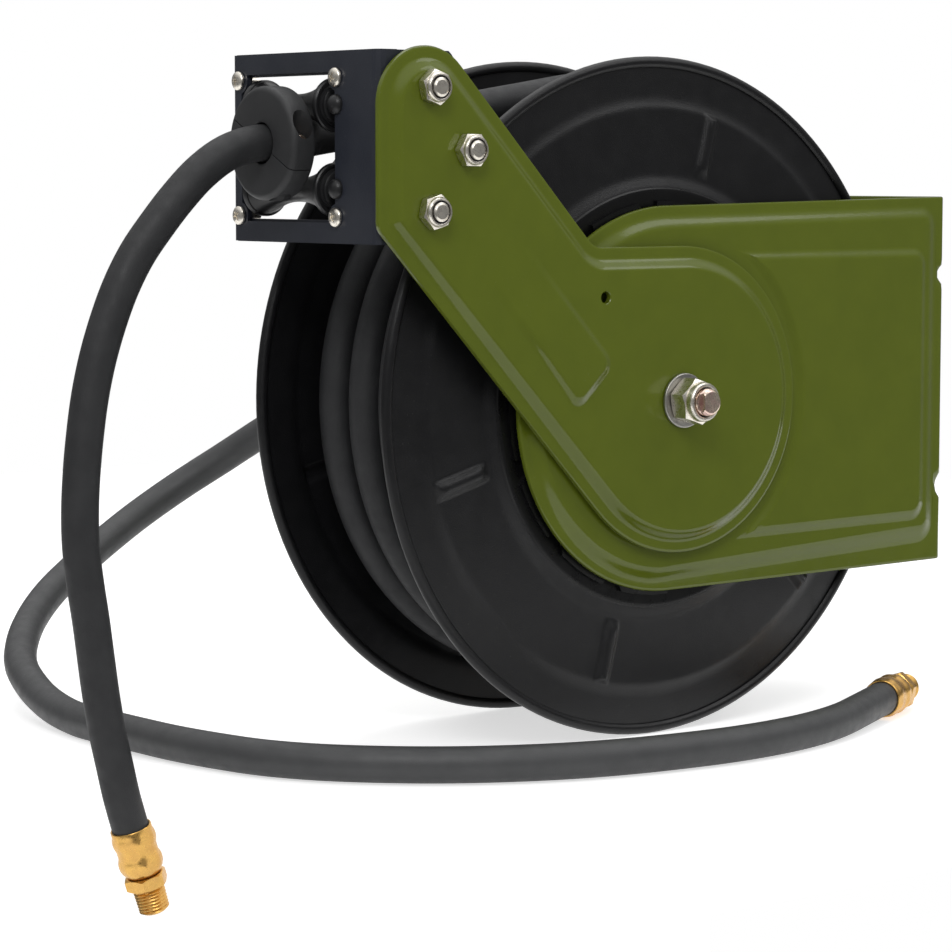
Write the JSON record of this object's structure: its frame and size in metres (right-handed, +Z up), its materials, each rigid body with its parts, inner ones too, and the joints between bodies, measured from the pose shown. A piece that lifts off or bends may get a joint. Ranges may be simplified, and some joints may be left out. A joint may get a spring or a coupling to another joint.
{
  "type": "retractable air hose reel",
  "caption": "Wall-mounted spring-rewind air hose reel: steel spool on a U bracket with a roller hose guide on an adjustable arm.",
  "frame": {"origin": "centre of the bracket's rear face, against the wall", "axes": "+X into the wall, +Y along the axle to the air inlet's side, +Z up"},
  "size_m": [0.4504, 0.3988, 0.3574],
  "materials": {
    "green_paint": "gloss olive green enamel",
    "black_paint": "semi-gloss black enamel",
    "graphite_paint": "satin graphite enamel",
    "hose_rubber": "matt black hose rubber",
    "black_rubber": "hard black rubber",
    "zinc": "bright zinc plate",
    "brass": "turned brass",
    "spring_steel": "blued spring steel",
    "nylon": "natural nylon",
    "black_nylon": "moulded black nylon"
  },
  "bodies": {
    "bracket": {"mount_bracket": "green_paint", "main_shaft": "zinc", "axle_washer": "zinc", "axle_nut": "zinc", "arm_bush": "nylon", "far_washer": "zinc", "far_nut": "zinc", "spring_arbor": "spring_steel", "pawl_stud": "zinc", "pawl_spring": "spring_steel", "inlet_adapter": "brass", "inlet_ferrule": "brass", "inlet_hose": "hose_rubber", "inlet_end_ferrule": "brass", "inlet_end_fitting": "brass"},
    "spool": {"near_flange": "black_paint", "far_flange": "black_paint", "drum": "black_paint", "ratchet_ring": "black_paint", "spring_case": "black_paint", "rewind_spring": "spring_steel", "near_bush": "nylon", "swivel_body": "brass", "swivel_seal_1": "black_rubber", "swivel_seal_2": "black_rubber", "hose_neck": "brass", "hose_core": "hose_rubber", "hose_winding": "hose_rubber"},
    "guide": {"guide_arm": "green_paint", "guide_plate": "graphite_paint", "guide_bolt_1": "zinc", "guide_bolt_2": "zinc", "guide_bolt_3": "zinc", "guide_collar_1": "zinc", "guide_collar_2": "zinc", "guide_collar_3": "zinc", "guide_nut_1": "zinc", "guide_nut_2": "zinc", "guide_nut_3": "zinc", "roller_frame": "graphite_paint", "plate_screw_1": "zinc", "plate_screw_2": "zinc", "plate_screw_3": "zinc", "plate_screw_4": "zinc", "upper_roller_pin": "zinc", "lower_roller_pin": "zinc", "stopper_upper": "black_rubber", "stopper_lower": "black_rubber", "stopper_screw_1": "zinc", "stopper_screw_2": "zinc", "hose_lead": "hose_rubber", "outlet_hose": "hose_rubber", "outlet_ferrule": "brass", "outlet_fitting": "brass"},
    "upper_roller_body": {"upper_roller": "black_nylon"},
    "lower_roller_body": {"lower_roller": "black_nylon"},
    "pawl_body": {"pawl": "zinc"}
  },
  "joints": [
    {"name": "spool_spin", "type": "hinge", "parent": "bracket", "child": "spool", "pos_m": [-0.175, 0, 0], "axis": [0, 1, 0], "continuous": true},
    {"name": "arm_pivot", "type": "hinge", "parent": "bracket", "child": "guide", "pos_m": [-0.175, 0, 0], "axis": [0, 1, 0], "range_deg": [-23, 69]},
    {"name": "upper_roller_spin", "type": "hinge", "parent": "guide", "child": "upper_roller_body", "pos_m": [-0.3295, 0.0055, 0.1273], "axis": [0, 1, 0], "continuous": true},
    {"name": "lower_roller_spin", "type": "hinge", "parent": "guide", "child": "lower_roller_body", "pos_m": [-0.3295, 0.0055, 0.0921], "axis": [0, 1, 0], "continuous": true},
    {"name": "pawl_pivot", "type": "hinge", "parent": "bracket", "child": "pawl_body", "pos_m": [-0.07268, -0.05185, 0.04555], "axis": [0, 1, 0], "range_deg": [0, 20]}
  ]
}
